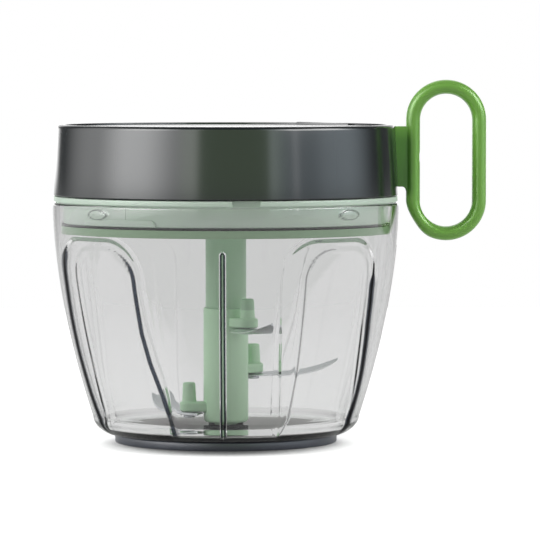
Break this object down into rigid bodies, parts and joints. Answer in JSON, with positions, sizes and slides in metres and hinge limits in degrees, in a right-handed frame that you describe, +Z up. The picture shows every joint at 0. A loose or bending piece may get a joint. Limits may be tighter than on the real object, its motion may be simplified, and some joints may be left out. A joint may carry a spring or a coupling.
{
  "type": "pull cord food chopper",
  "caption": "Hand food chopper: clear ribbed bowl, dark lid with a loop handle on a pull cord, and steel blades on a post that the cord spins.",
  "frame": {"origin": "centre of the foot pad's underside, on the axis of the bowl and the blade post", "axes": "+Z up along the blade post, +X towards the pull handle"},
  "size_m": [0.1638, 0.1308, 0.1367],
  "materials": {
    "clear_bowl": "clear, slightly smoky, polished",
    "foot_rubber": "satin",
    "pin_steel": "fine brushed",
    "dark_rubber": "satin",
    "post_mint": "satin moulded",
    "brass": "turned",
    "blade_steel": "ground",
    "pale_mint": "satin moulded",
    "white_acetal": "satin moulded",
    "charcoal_gloss": "polished",
    "spring_steel": "rolled",
    "cord_fibre": "braided",
    "dark_acetal": "satin moulded",
    "handle_green": "soft gloss"
  },
  "bodies": {
    "bowl": {"bowl_shell": "clear_bowl", "foot_pad": "foot_rubber", "pivot_pin": "pin_steel", "pivot_washer": "dark_rubber"},
    "blade": {"blade_column": "post_mint", "column_bush": "brass", "blade_upper": "blade_steel", "blade_middle": "blade_steel", "blade_lower": "blade_steel", "blade_screw_upper": "pin_steel", "blade_screw_middle": "pin_steel", "blade_screw_lower": "pin_steel"},
    "seal": {"lid_seal": "dark_rubber"},
    "lid": {"lid_base": "pale_mint", "hub_bearing": "white_acetal", "lid_cover": "charcoal_gloss", "cover_screw_1": "pin_steel", "cover_screw_2": "pin_steel", "cover_screw_3": "pin_steel", "cover_screw_4": "pin_steel", "spindle": "pin_steel", "spindle_washer": "pin_steel", "spindle_screw": "pin_steel", "return_spring": "spring_steel", "cord_eyelet": "white_acetal", "pull_cord": "cord_fibre"},
    "drive": {"drive_hub": "dark_acetal", "clutch_spring": "spring_steel"},
    "clutch": {"clutch_ring": "white_acetal"},
    "reel": {"cord_reel": "dark_acetal", "reel_cap": "white_acetal"},
    "handle": {"pull_handle": "handle_green", "handle_plug": "handle_green", "cord_ferrule": "brass"}
  },
  "joints": [
    {"name": "lid_lift", "type": "slide", "parent": "bowl", "child": "seal", "axis": [0, 0, 1], "range_m": [0, 0.1]},
    {"name": "lid_turn", "type": "hinge", "parent": "seal", "child": "lid", "pos_m": [0, 0, 0.0922], "axis": [0, 0, 1], "range_deg": [0, 20]},
    {"name": "handle_pull", "type": "slide", "parent": "lid", "child": "handle", "axis": [1, 0, 0], "range_m": [0, 0.26], "stiffness_N_per_m": 25, "springref_m": -0.1, "deforming": ["pull_cord"]},
    {"name": "reel_spin", "type": "hinge", "parent": "lid", "child": "reel", "pos_m": [0, 0, 0.108], "axis": [0, 0, 1], "range_deg": [0, 645], "deforming": ["return_spring"]},
    {"name": "hub_spin", "type": "hinge", "parent": "lid", "child": "drive", "pos_m": [0, 0, 0.092], "axis": [0, 0, 1], "range_deg": [0, 645]},
    {"name": "clutch_slip", "type": "slide", "parent": "drive", "child": "clutch", "axis": [0, 0, 1], "range_m": [-0.0013, 0], "stiffness_N_per_m": 300, "springref_m": 0.002, "deforming": ["clutch_spring"]},
    {"name": "blade_spin", "type": "hinge", "parent": "bowl", "child": "blade", "pos_m": [0, 0, 0.02], "axis": [0, 0, 1], "range_deg": [0, 645]}
  ],
  "couplings": [
    {"joint": "reel_spin", "follows": "handle_pull", "rad_per_m": 42.919},
    {"joint": "hub_spin", "follows": "handle_pull", "rad_per_m": 42.919},
    {"joint": "blade_spin", "follows": "handle_pull", "rad_per_m": 42.919}
  ]
}
